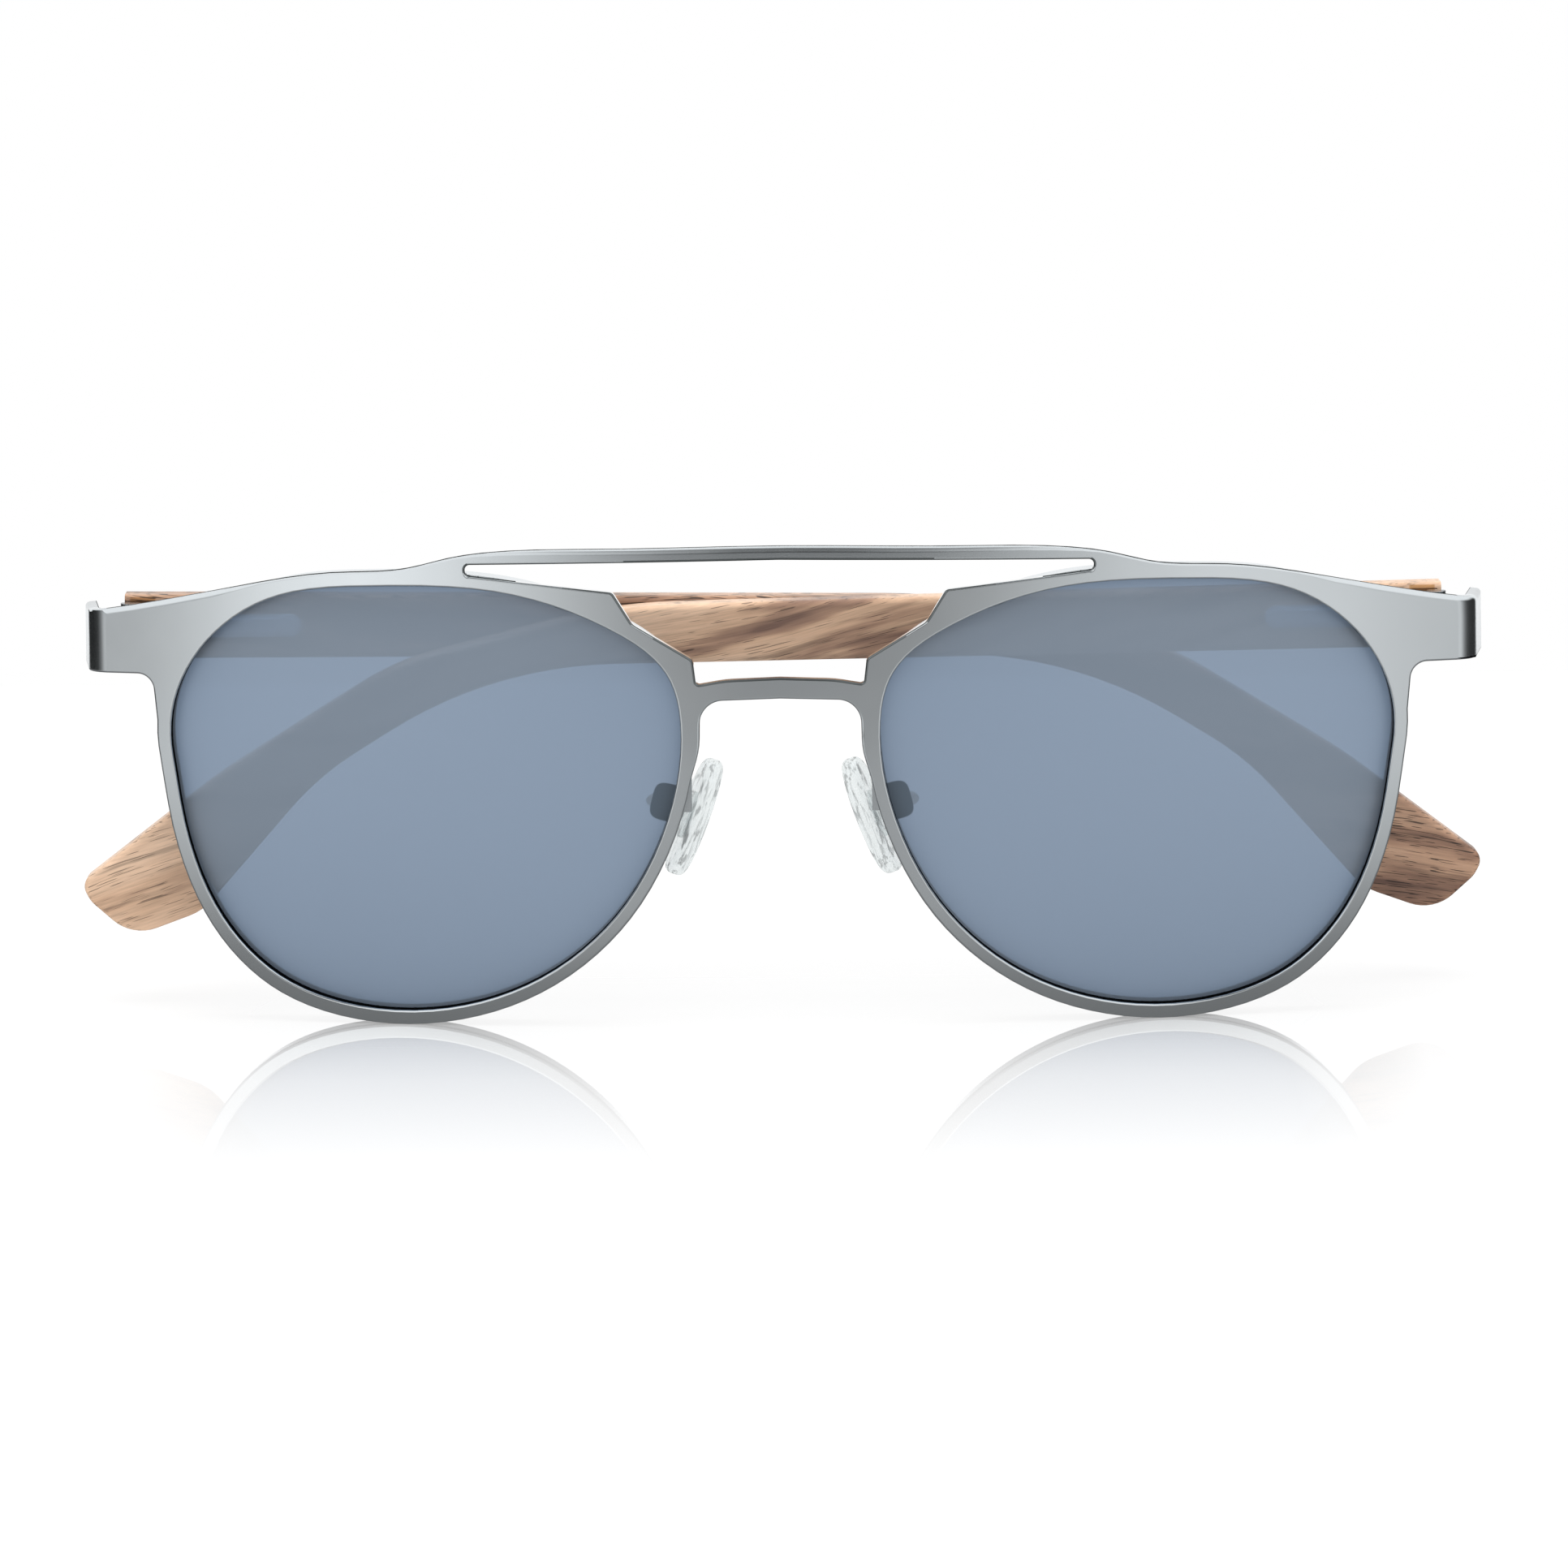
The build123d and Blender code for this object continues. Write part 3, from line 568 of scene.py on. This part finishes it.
# %% Rounded sheet
def rounded_sheet(points, triangles, radii, steps=3):
    """Rounds the edges between skins and walls. Each edge point is replaced by the points of its
    round's profile, and quads join those of neighbours. Returns points, faces, normals and each
    face's group."""
    face_normal, kind = face_kinds(points, triangles)
    edges, owner, other = edge_table(triangles)
    on_wall = kind[owner] == WALL
    normals = normals_at(len(points), edges[on_wall], face_normal[owner[on_wall]])
    profiles, strips = [], []
    faces, total = triangles.copy(), len(points)
    for kind_here, sign in ((FRONT, 1.0), (BACK, -1.0)):
        rim = (kind[owner] == kind_here) & (kind[other] == WALL)
        ring = np.unique(edges[rim])
        seat = np.full(len(points), -1)
        seat[ring] = np.arange(len(ring))
        walls = normals_at(len(ring), seat[edges[rim]], face_normal[other[rim]])
        skins = sign * sheet_normals(points[ring])
        radius = radii[kind_here](points[ring])[:, None] * MM
        profiles += round_profile(points[ring], skins, walls, radius, steps)
        moved = np.isin(triangles, ring)
        skin_corner = (kind == kind_here)[:, None] & moved
        wall_corner = (kind == WALL)[:, None] & moved
        faces[skin_corner] = total + seat[triangles[skin_corner]]
        faces[wall_corner] = total + steps * len(ring) + seat[triangles[wall_corner]]
        row = total + np.arange(steps)[:, None] * len(ring)
        one, two = seat[edges[rim]].T
        quads = np.stack([row + two, row + one, row + len(ring) + one, row + len(ring) + two],
                         axis=-1)
        strips.append(quads.reshape(-1, 4))
        total += (steps + 1) * len(ring)
        inner = np.unique(triangles[kind == kind_here])
        normals[inner] = sign * sheet_normals(points[inner])
    strips = np.concatenate(strips)
    group = np.concatenate([np.where(kind == WALL, WALL, SKIN), np.full(len(strips), ROUND)])
    return (np.concatenate([points] + [row for row, _ in profiles]),
            faces.tolist() + strips.tolist(),
            np.concatenate([normals] + [row for _, row in profiles]), group)


def compact(points, faces, normals):
    """Drops the points that no face uses."""
    used = np.unique(np.concatenate([np.asarray(face) for face in faces]))
    seat = np.full(len(points), -1)
    seat[used] = np.arange(len(used))
    return points[used], [seat[np.asarray(face)].tolist() for face in faces], normals[used]


# %% Dress the front plate
FRONT_ROUND, BACK_ROUND = 0.16, 0.10    # mm, at the edges of each skin
TOP_ROUND = 0.34                        # mm more, along the tops of the brow bar and end pieces
WINDOW_MIDDLE = np.array([0.0, 0.0, 21.0]) * MM
WINDOW_FOOT = 10.0 * MM                 # the window's walls are all above this height
METAL, PAINTED_SHADE_EDGE, BLACK_PAINTED_SHADE, POLISHED = range(4)  # the plate's materials, by their place in its list


def rise(value, start, length):
    """0 up to the start, then evenly up to 1 over the length."""
    return np.clip((value - start) / length, 0, 1)


def front_round(points):
    """Radius in mm: small, but the brow bar's top is rounded over, more towards its middle, and
    so is the top of each end piece, but not the edge round the lens."""
    x, z = np.abs(points[:, 0]) / MM, points[:, 2] / MM
    brow = rise(z, 24.9, 0.7)
    ends = rise(x, 50.0, 8.0) * rise(z, 14.5, 1.5) * ~inside_lens(points, 1.5 * MM)
    return FRONT_ROUND + TOP_ROUND * (brow + ends)


def back_round(points):
    """Radius in mm behind, the same everywhere."""
    return np.full(len(points), BACK_ROUND)


points, faces, normals, group = rounded_sheet(*welded("front_plate"), (front_round, back_round))
points, faces, normals = compact(points, faces, normals)
plate = new_piece("front_plate_finish", points, faces,
                  [front_metal, painted_shade_edge, black_painted_shade, polished], "front",
                  "front_plate", "frame_metal")
middles = np.array([points[face].mean(0) for face in faces])
facing = np.array([normals[face].mean(0) for face in faces])
shade = np.full(len(faces), METAL, np.int32)
# Walls take the darker copy of the metal, a painted shade.
shade[(group == WALL) & (np.abs(middles[:, 0]) < BEND_START)] = PAINTED_SHADE_EDGE
# Walls inside a lens's outline take the near-black copy, a painted shade for the dark line round
# the lens.
shade[(group == WALL) & inside_lens(middles, 0.1 * MM)] = BLACK_PAINTED_SHADE
inward = ((WINDOW_MIDDLE - middles)[:, [0, 2]] * facing[:, [0, 2]]).sum(-1) > 0
window = inward & (middles[:, 2] > WINDOW_FOOT) & (shade != BLACK_PAINTED_SHADE)
window &= ~inside_lens(middles, 1.0 * MM)
shade[window & (group == WALL)] = POLISHED
# The window's rounds take the darker copy, a painted shade line beside its bright walls.
shade[window & (group == ROUND)] = PAINTED_SHADE_EDGE
plate.data.polygons.foreach_set("material_index", shade)
plate.data.normals_split_custom_set_from_vertices(normals.tolist())
print("front plate:", len(faces), "faces, of them rounds:", int((group == ROUND).sum()))

# %% [markdown]
# ## Eyewires, hinges and screws
# Behind each rim a grooved wire holds the lens, and a small block in two halves closes it with
# a screw. These are plated like the front, but the lip beside the lens is painted near black, a
# painted shade. A hinge has a plated leaf, a paler and more matt knuckle and housing, and plain
# steel screws and pins. All of them keep the solid's own shape, and a Bevel modifier softens the
# edges of the larger ones.

# %% Lips
LIP_DEPTH = 2.0 * MM                    # how far behind the dome the lip's painted shade reaches


# The near-black on the lip is painted shade, for the dark line between lens and rim.
def paint_shade_on_lip(eyewire):
    """Gives a wire's faces that lie inside the lens's outline, near the dome, its second
    material, and tells how many there are."""
    eyewire.data.materials.append(black_painted_shade)
    middles = np.empty(len(eyewire.data.polygons) * 3, np.float32)
    eyewire.data.polygons.foreach_get("center", middles)
    middles = middles.reshape(-1, 3).astype(float)
    lip = inside_lens(middles, 0.15 * MM) & (depth_of(middles) < LIP_DEPTH)
    eyewire.data.polygons.foreach_set("material_index", lip.astype(np.int32))
    return int(lip.sum())


# %% [markdown]
# ## Springs
# In each housing a coil stands between the housing's collar and the head of the pin. Pulling the
# temple outwards presses it. One end belongs to the temple and the other to the pin, so the coil
# is blended between those two bodies along its length, and shortens as they come nearer.


# %% Springs
def blended_spring(side):
    """A copy of the coil on no body, with its place baked into its points. Its collar is the end
    nearer to the hinge, and its head is at the pin."""
    coil = softened(f"{side}_spring", screw_steel, None, 0.0, "steel")
    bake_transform(coil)
    return coil


# %% Dress the other metal
for side in SIDES:
    eyewire = softened(f"{side}_eyewire", front_metal, "front", 0.0, "frame_metal")
    print(eyewire.name, "blackened faces:", paint_shade_on_lip(eyewire))
    for piece in ("rim_lock_upper", "rim_lock_lower", "hinge_leaf", "pad_arm", "pad_box"):
        softened(f"{side}_{piece}", front_metal, "front", 0.06, "frame_metal")
    for piece in ("hinge_screw", "rim_lock_screw", "pad_screw"):
        softened(f"{side}_{piece}", screw_steel, "front", 0.04, "steel")
    softened(f"{side}_spring_slider", hinge_metal, f"{side}_hinge_block", 0.06, "hinge_metal")
    softened(f"{side}_spring_pin", screw_steel, f"{side}_hinge_block", 0.0, "steel")
    for piece in ("spring_housing", "housing_rivet"):
        softened(f"{side}_{piece}", hinge_metal, f"{side}_arm", 0.06, "hinge_metal")
    coil = blended_spring(side)
    print(coil.name, "length, mm:", round(coil.dimensions.x / MM, 2))

# %% [markdown]
# ## Walnut
# The temples are sawn from a straight board, so the grain runs nearly level and doesn't follow
# the bend. Five layers make it: broad bands of heartwood that drift across the bar, darker
# figure lines along them, fine fibres, short open pores that are nearly black, and an oil
# finish with a soft gloss. Pores crowd together in patches. Near the butt the inner face is cut
# away for the hinge, and the freshly cut wood there is more orange.

# %% Hinge pocket
POCKET_START = (3.4, 3.2)               # mm from the butt, over which the cut wood's colour starts
POCKET_STOP = (0.75, 0.6)               # and over which it stops
POCKET_TOP = (0.3, 0.2)                 # mm below the bar's top, over which it stops
FACES_FORWARD = (-0.35, -0.2)           # y of the normals of the inner face, which looks forward
CUT_WOOD = (0.50, 0.26, 0.10, 1)


def hinge_pocket(tree, node, spot):
    """1 where the hinge's pocket was cut, near the bar's butt, and 0 elsewhere: the product of
    ramps along the bar, up it, and by the way that the face looks."""
    low, high = (np.array(corner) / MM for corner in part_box(node))
    outwards, butt = (1, high[0]) if node.startswith("left") else (-1, -low[0])
    reach = calculate(tree, "MULTIPLY", spot.outputs["X"], outwards)
    coordinates = tree.nodes.new("ShaderNodeTexCoord")
    facing = shader(tree, "SeparateXYZ", Vector=coordinates.outputs["Normal"])
    inner = rescale(tree, facing.outputs["Y"], *FACES_FORWARD, 1.0, 0.0)
    start = rescale(tree, reach, *(butt - mm for mm in POCKET_START), 0.0, 1.0)
    stop = rescale(tree, reach, *(butt - mm for mm in POCKET_STOP), 1.0, 0.0)
    below = rescale(tree, spot.outputs["Z"], *(high[2] - mm for mm in POCKET_TOP), 1.0, 0.0)
    length = calculate(tree, "MULTIPLY", start, stop)
    return calculate(tree, "MULTIPLY", inner, calculate(tree, "MULTIPLY", length, below))


# %% Walnut
EAR_START = (50.0, 62.0)                # mm from the middle, over which an ear end begins
EAR_TOP = (5.0, 8.0)                    # height in mm over which it ends
SWAY = 3.0                              # mm that the bands drift up or down
PORE_DEPTH = 0.03                       # mm


def walnut(name, shift, slope, pale, warmth, crowd, length, dark=0.22, pale_tip=0.0):
    """Oiled walnut. Shift moves the pattern and slope turns it, so that no two pieces match;
    pale moves the bands towards sapwood and pale_tip makes them paler at the ear end, warmth tints
    them, crowd raises the share of open pores, dark is their tone, and a smaller length makes them
    longer."""
    material, tree = new_material(name)
    spot = shader(tree, "SeparateXYZ", Vector=object_mm(tree))
    aside = calculate(tree, "ABSOLUTE", spot.outputs["X"])
    tip = calculate(tree, "MULTIPLY", rescale(tree, aside, *EAR_START, 0.0, pale_tip),
                    rescale(tree, spot.outputs["Z"], *EAR_TOP, 1.0, 0.0))
    place = vector_sum(tree, "ADD", object_mm(tree, (0, slope, 0)), shift)
    sway = rescale(tree, noise(tree, place, 0.03, 1.0), 0.0, 1.0, -SWAY, SWAY)
    lifted = shader(tree, "CombineXYZ", Z=sway).outputs[0]
    bent = vector_sum(tree, "ADD", place, lifted)

    def along(stretch, detail, roughness=0.55):
        """Noise whose three numbers are its grains per millimetre along x, y and z."""
        return noise(tree, vector_sum(tree, "MULTIPLY", bent, stretch), 1.0, detail, roughness)

    bands = along((0.035, 0.1, 0.27), 3.0)
    figure = along((0.05, 0.4, 1.7), 4.0, 0.7)
    fibres = along((0.25, 5.0, 7.0), 3.0)
    pores = along((length, 3.0, 9.0), 0.0)
    where = along((0.06, 0.2, 0.35), 2.0)
    paler = calculate(tree, "ADD", tip, pale)
    tone = ramp(tree, calculate(tree, "ADD", bands, paler), [
        (0.36, (0.20, 0.115, 0.085)), (0.45, (0.42, 0.26, 0.175)),
        (0.52, (0.66, 0.44, 0.295)), (0.68, (0.83, 0.59, 0.42)),
    ])
    lines = ramp(tree, figure, [(0.36, 0.62), (0.44, 0.92), (0.60, 1.04)])
    streaks = ramp(tree, fibres, [(0.30, 0.86), (0.52, 1.0), (0.72, 1.07)])
    sparse = min(crowd, 0) - 0.05
    crowded = rescale(tree, where, 0.40, 0.62, sparse, crowd)
    open_pores = ramp(tree, calculate(tree, "ADD", pores, crowded), [(0.63, 1.0), (0.67, dark)])
    sawn = hinge_pocket(tree, name.replace("walnut", "temple"), spot)
    colour = mix_colour(tree, sawn, tone, CUT_WOOD)
    for layer in ((*warmth, 1), lines, streaks, open_pores):
        colour = mix_colour(tree, 1.0, colour, layer, "MULTIPLY")
    wood = shader(tree, "BsdfPrincipled", Base_Color=colour, Roughness=0.42, Coat_Weight=0.2,
                  Coat_Roughness=0.25)
    show(tree, wood, open_pores, PORE_DEPTH)
    return material


left_walnut = walnut("left_walnut", (151, 0, 30), 0.24, 0.045, (1, 0.97, 0.94), -0.045, 0.3,
                     dark=0.45, pale_tip=0.08)
right_walnut = walnut("right_walnut", (140, 30, 55), -0.10, -0.01, (0.74, 0.66, 0.62), 0.05, 0.4)
for side, wood in zip(SIDES, (left_walnut, right_walnut)):
    temple = softened(f"{side}_temple", wood, f"{side}_arm", 0.0, "wood")
    print(temple.name, "length, mm:", round(temple.dimensions.x / MM, 1))

# %% [markdown]
# ## Lenses
# A lens is a piece of a sphere, cut to the rim's outline. On a grid, one parameter runs round
# the outline and the other from the middle of the front to the edge and on to the middle of the
# back. Its front carries a thin silvery mirror coat, which sends most of the light back, and
# the blue-grey glass behind it dims what passes. Beside the nose, where the pad's box stands
# against the lens, a small dark patch is drawn on the front in place of the coat. It is a
# rounded square, where the fourth powers of the two shares add up to less than one.

# %% Lens surface
CAP = 0.02                              # share of the outline inside the innermost ring


def lens_surface(side, around=360, rings=24, bevel=0.2 * MM):
    """Rings of points. x and z are the lens's middle plus a share of its outline, in each
    direction round it, and y = R - sqrt((R - depth)^2 - x^2 - z^2) puts them on the dome of
    radius R at a depth. The last ring of each face is set in by the bevel."""
    middle, outline = outlines[side]
    depths = depth_of(welded(f"{side}_lens")[0])
    front, rear = depths.min(), depths.max()
    turns = np.linspace(-np.pi, np.pi, around, endpoint=False)
    reach = np.interp(turns, *outline, period=2 * np.pi)
    share = np.linspace(CAP, 1, rings)
    trim = np.where(share == 1, bevel, 0)
    inset = np.concatenate([trim, [0, 0], trim[::-1]])
    share = np.concatenate([share, [1, 1], share[::-1]])
    depth = np.concatenate([np.full(rings, front), [front + bevel, rear - bevel],
                            np.full(rings, rear)])
    radius = share[:, None] * reach - inset[:, None]
    x = middle[0] + radius * np.cos(turns)
    z = middle[2] + radius * np.sin(turns)
    y = DOME - np.sqrt((DOME - depth[:, None]) ** 2 - x**2 - z**2)
    return np.stack([x, y, z], axis=-1)


def closed_faces(rows, around):
    """Quads between neighbouring rings, and one flat cap at each end."""
    ring, step = np.meshgrid(np.arange(rows - 1), np.arange(around), indexing="ij")
    after = (step + 1) % around
    quads = np.stack([ring * around + step, (ring + 1) * around + step,
                      (ring + 1) * around + after, ring * around + after], axis=-1)
    last = (rows - 1) * around
    caps = [list(range(around)), list(range(last + around - 1, last - 1, -1))]
    return quads.reshape(-1, 4).tolist() + caps


# %% Lens glass
TINT = (0.42, 0.50, 0.61)               # what each face lets through
COAT_SHARE = 0.62                       # of the front that is silver, and not see-through
GLOSS_SHARE = 0.12                      # of the back that is gloss
BOX_MIDDLE = (11.2, -0.35)              # of the dark patch: mm from the middle, and height
BOX_HALF = (2.0, 1.95)                  # its half sizes, mm
BOX_TILT = math.radians(14)             # its lean, along the rim
BOX_EDGE = (0.85, 1.05)                 # sum of the fourth powers over which it fades out

material, tree = new_material("lens_mirror_coat")
passing = shader(tree, "BsdfTransparent", Color=(*TINT, 1))
silver = shader(tree, "BsdfPrincipled", Base_Color=(0.378, 0.46, 0.565, 1), Metallic=0.5,
                Roughness=0.45, Coat_Weight=0.15, Coat_Roughness=0.03)
coat = mix_shader(tree, COAT_SHARE, passing, silver)
place = shader(tree, "SeparateXYZ", Vector=object_mm(tree))
aside = calculate(tree, "ABSOLUTE", place.outputs["X"])
from_box = shader(tree, "CombineXYZ", X=calculate(tree, "SUBTRACT", aside, BOX_MIDDLE[0]),
                  Z=calculate(tree, "SUBTRACT", place.outputs["Z"], BOX_MIDDLE[1]))
turned = tree.nodes.new("ShaderNodeMapping")
fill(tree, turned, {"Vector": from_box.outputs[0], "Rotation": (0, BOX_TILT, 0),
                    "Scale": (1 / BOX_HALF[0], 1, 1 / BOX_HALF[1])})
share = shader(tree, "SeparateXYZ", Vector=turned.outputs[0])
fourths = [calculate(tree, "POWER", calculate(tree, "ABSOLUTE", share.outputs[axis]), 4.0)
           for axis in ("X", "Z")]
inside = rescale(tree, calculate(tree, "ADD", *fourths), *BOX_EDGE, 1.0, 0.0)
# The dark patch beside the nose, drawn in place of the coat.
dark_patch = shader(tree, "BsdfPrincipled", Base_Color=(0.075, 0.105, 0.14, 1), Roughness=0.35)
show(tree, mix_shader(tree, inside, coat, dark_patch))
mirror_coat = material

material, tree = new_material("lens_tinted_glass")
passing = shader(tree, "BsdfTransparent", Color=(*TINT, 1))
gloss = shader(tree, "BsdfPrincipled", Base_Color=(0.04, 0.05, 0.07, 1), Roughness=0.05)
show(tree, mix_shader(tree, GLOSS_SHARE, passing, gloss))
tinted_glass = material
through = np.array(TINT) ** 2 * (1 - COAT_SHARE) * (1 - GLOSS_SHARE)
print("share of the light that both faces let through:", np.round(through, 3).tolist())

# %% Lenses
COATED, PLAIN = 0, 1                    # a lens's materials, by their place in its list

for side in SIDES:
    grid = lens_surface(side)
    faces = closed_faces(*grid.shape[:2])
    lens = new_piece(f"{side}_lens_glass", grid.reshape(-1, 3), faces,
                     [mirror_coat, tinted_glass], "front", f"{side}_lens", "lens_glass")
    lens.data.set_sharp_from_angle(angle=CREASE)
    half = (len(faces) - 2) // 2        # the two caps come last, the front one before the rear
    finish = np.full(len(faces), PLAIN, np.int32)
    finish[:half] = COATED
    finish[-2] = COATED
    lens.data.polygons.foreach_set("material_index", finish)
    print(lens.name, len(faces), "faces")

# %% [markdown]
# ## Nose pads
# A pad is clear silicone pressed round a plastic insert. Silicone that thick is a little milky,
# so each surface is mostly see-through with a soft white body. The insert has flow lines along
# it from its mould, which are seen through the silicone as fine dark dashes.

# %% Nose pads
PAD_TILT = math.radians(20.5)
DASHES = (2.6, 1.2, 0.35)               # flow lines per mm across, into and along the pad
DASH_TONE = 0.35                        # of the darkest, beside 1 for the silicone
DASH_COVER = 0.35                       # how much less of what's behind shows through it


def milky(name, colour, cover, rough, tilt):
    """A see-through material with a soft white body that covers part of what's behind, and
    darker dashes that run at a tilt."""
    material, tree = new_material(name)
    clear = shader(tree, "BsdfTransparent", Color=(0.97, 0.985, 0.985, 1))
    white = shader(tree, "BsdfPrincipled", Base_Color=(*colour, 1), Roughness=rough)
    lengthwise = vector_sum(tree, "MULTIPLY", object_mm(tree, (0, tilt, 0)), DASHES)
    dashes = ramp(tree, noise(tree, lengthwise, 1.0, 3.0, 0.6), [(0.55, 1.0), (0.61, DASH_TONE)])
    fill(tree, white, {"Base Color": mix_colour(tree, 1.0, (*colour, 1), dashes, "MULTIPLY")})
    cover = calculate(tree, "ADD", cover, rescale(tree, dashes, 1.0, DASH_TONE, 0.0, DASH_COVER))
    show(tree, mix_shader(tree, cover, clear, white))
    return material


for side, tilt in zip(SIDES, (PAD_TILT, -PAD_TILT)):
    silicone = milky(f"{side}_clear_silicone", (0.86, 0.91, 0.91), 0.30, 0.12, tilt)
    insert_plastic = milky(f"{side}_frosted_insert", (0.9, 0.93, 0.93), 0.35, 0.3, tilt)
    softened(f"{side}_nose_pad", silicone, f"{side}_pad", 0.0, "silicone")
    softened(f"{side}_pad_insert", insert_plastic, f"{side}_pad", 0.0, "insert_plastic")
    print(f"{side} pad dressed in", silicone.name, "and", insert_plastic.name)

# %% [markdown]
# ## Finish
# The Standard view shows every colour as it is written.

# %% Finish
bpy.context.scene.view_settings.view_transform = "Standard"
